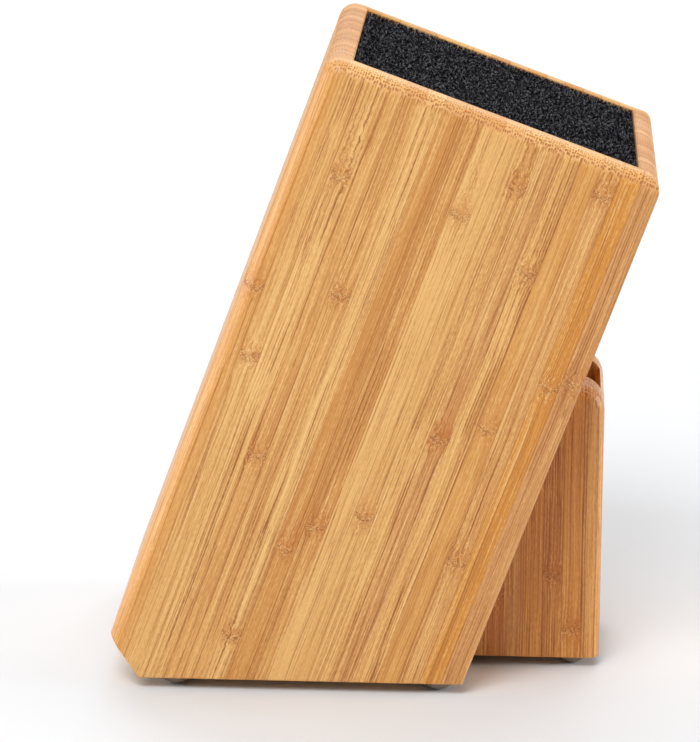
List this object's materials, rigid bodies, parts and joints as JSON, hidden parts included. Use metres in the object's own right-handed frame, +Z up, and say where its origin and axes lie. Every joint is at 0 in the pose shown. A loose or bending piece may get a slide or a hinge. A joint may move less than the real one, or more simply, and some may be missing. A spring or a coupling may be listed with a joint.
{
  "type": "knife block",
  "caption": "Forward-leaning bamboo knife block with a bristle-filled mouth, a lift-out bristle cartridge, a scissors slot at its front and domed feet.",
  "frame": {"origin": "on the counter, under the middle of the whole block's box, at the level of the feet's soles", "axes": "+X to the front, the way the knife handles lean, +Y to the right of someone who stands in front of the block, +Z up"},
  "size_m": [0.2012, 0.133, 0.2406],
  "materials": {
    "bamboo": "satin lacquered bamboo strips",
    "dark_bamboo": "satin lacquered bamboo strips, darker",
    "dowel_wood": "plain hardwood",
    "screw_steel": "zinc-plated",
    "tray_plastic": "matt black moulded plastic",
    "bristles": "fine black filaments",
    "foot": "glossy grey-brown soft plastic"
  },
  "bodies": {
    "block": {"back_board": "bamboo", "base_board": "bamboo", "foot_back_left": "foot", "foot_back_right": "foot", "foot_front_left": "foot", "foot_front_right": "foot", "foot_holder_left": "foot", "foot_holder_right": "foot", "front_board": "bamboo", "holder_cheek_left": "dark_bamboo", "holder_cheek_right": "dark_bamboo", "holder_dowels": "dowel_wood", "holder_front_wedge": "dark_bamboo", "holder_screws": "screw_steel", "holder_slot_floor": "dark_bamboo", "panel_dowels_left": "dowel_wood", "panel_dowels_right": "dowel_wood", "side_panel_left": "bamboo", "side_panel_right": "bamboo", "tray_rail_left": "bamboo", "tray_rail_right": "bamboo"},
    "cartridge": {"cartridge_tray": "tray_plastic", "bristle_row_1": "bristles", "bristle_row_2": "bristles", "bristle_row_3": "bristles", "bristle_row_4": "bristles", "bristle_row_5": "bristles", "bristle_row_6": "bristles"}
  },
  "joints": [
    {"name": "cartridge_lift", "type": "slide", "parent": "block", "child": "cartridge", "axis": [0.342, 0, 0.9397], "range_m": [0, 0.21]}
  ]
}
